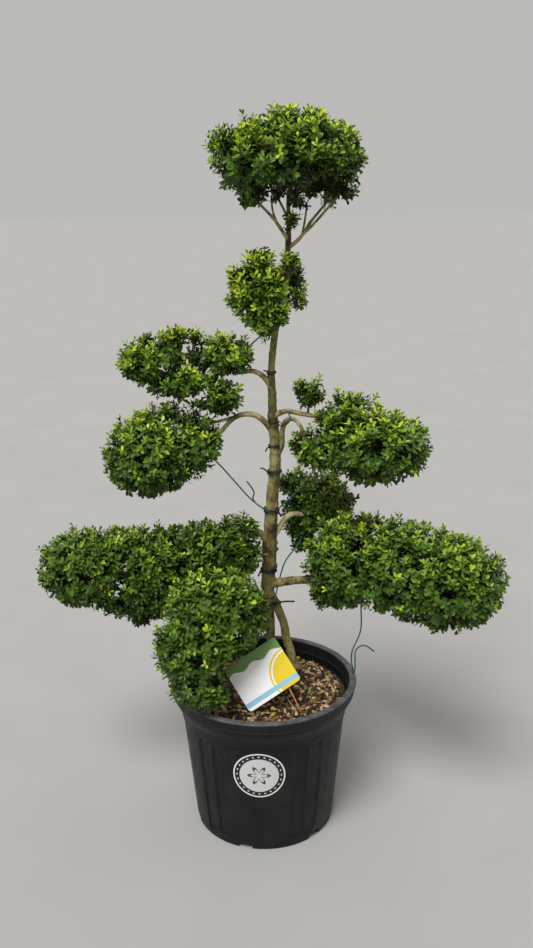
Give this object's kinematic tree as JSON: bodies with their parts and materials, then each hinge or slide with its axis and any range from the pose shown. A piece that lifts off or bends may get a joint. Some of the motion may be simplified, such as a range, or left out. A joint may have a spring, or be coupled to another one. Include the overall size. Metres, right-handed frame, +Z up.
{
  "type": "potted cloud-pruned evergreen topiary",
  "caption": "Cloud-pruned evergreen holly in a round nursery pot: a bare leaning trunk, a clipped dome on top and clipped clouds of foliage on tapering boughs.",
  "frame": {"origin": "centre of the pot's flat underside", "axes": "+Z up the plant; -Y is the side with the round label, +X to its right"},
  "size_m": [1.1059, 0.4897, 1.6858],
  "materials": {
    "nursery_pot": "matte black moulded plastic, worn grey on the rim",
    "potting_mix": "composted bark chips, dry on top",
    "label": "printed round sticker",
    "card": "printed plastic plant tag",
    "stick": "orange-brown tag stick",
    "bark": "grey-brown bark with a green algae film",
    "foliage": "small glossy evergreen leaves"
  },
  "bodies": {
    "root": {"nursery_pot": "nursery_pot", "potting_mix": "potting_mix", "pot_label": "label", "plant_tag": "card", "tag_stick": "stick", "trunk": "bark", "second_stem": "bark", "bough_upper_left": "bark", "bough_middle_left": "bark", "bough_middle_left_fork": "bark", "bough_middle_right": "bark", "bough_middle_right_lower": "bark", "bough_back": "bark", "bough_lower_right": "bark", "bough_lower_left": "bark", "bough_front": "bark", "crown_bough_left": "bark", "crown_bough_left_inner": "bark", "crown_bough_left_back": "bark", "crown_bough_right": "bark", "crown_bough_right_outer": "bark", "crown_bough_right_inner": "bark", "crown_dome": "foliage", "upper_pom": "foliage", "upper_left_cloud": "foliage", "middle_left_cloud": "foliage", "middle_right_cloud": "foliage", "middle_right_sprig": "foliage", "back_cloud": "foliage", "lower_right_cloud": "foliage", "lower_left_cloud": "foliage", "front_cloud": "foliage"}
  },
  "joints": []
}
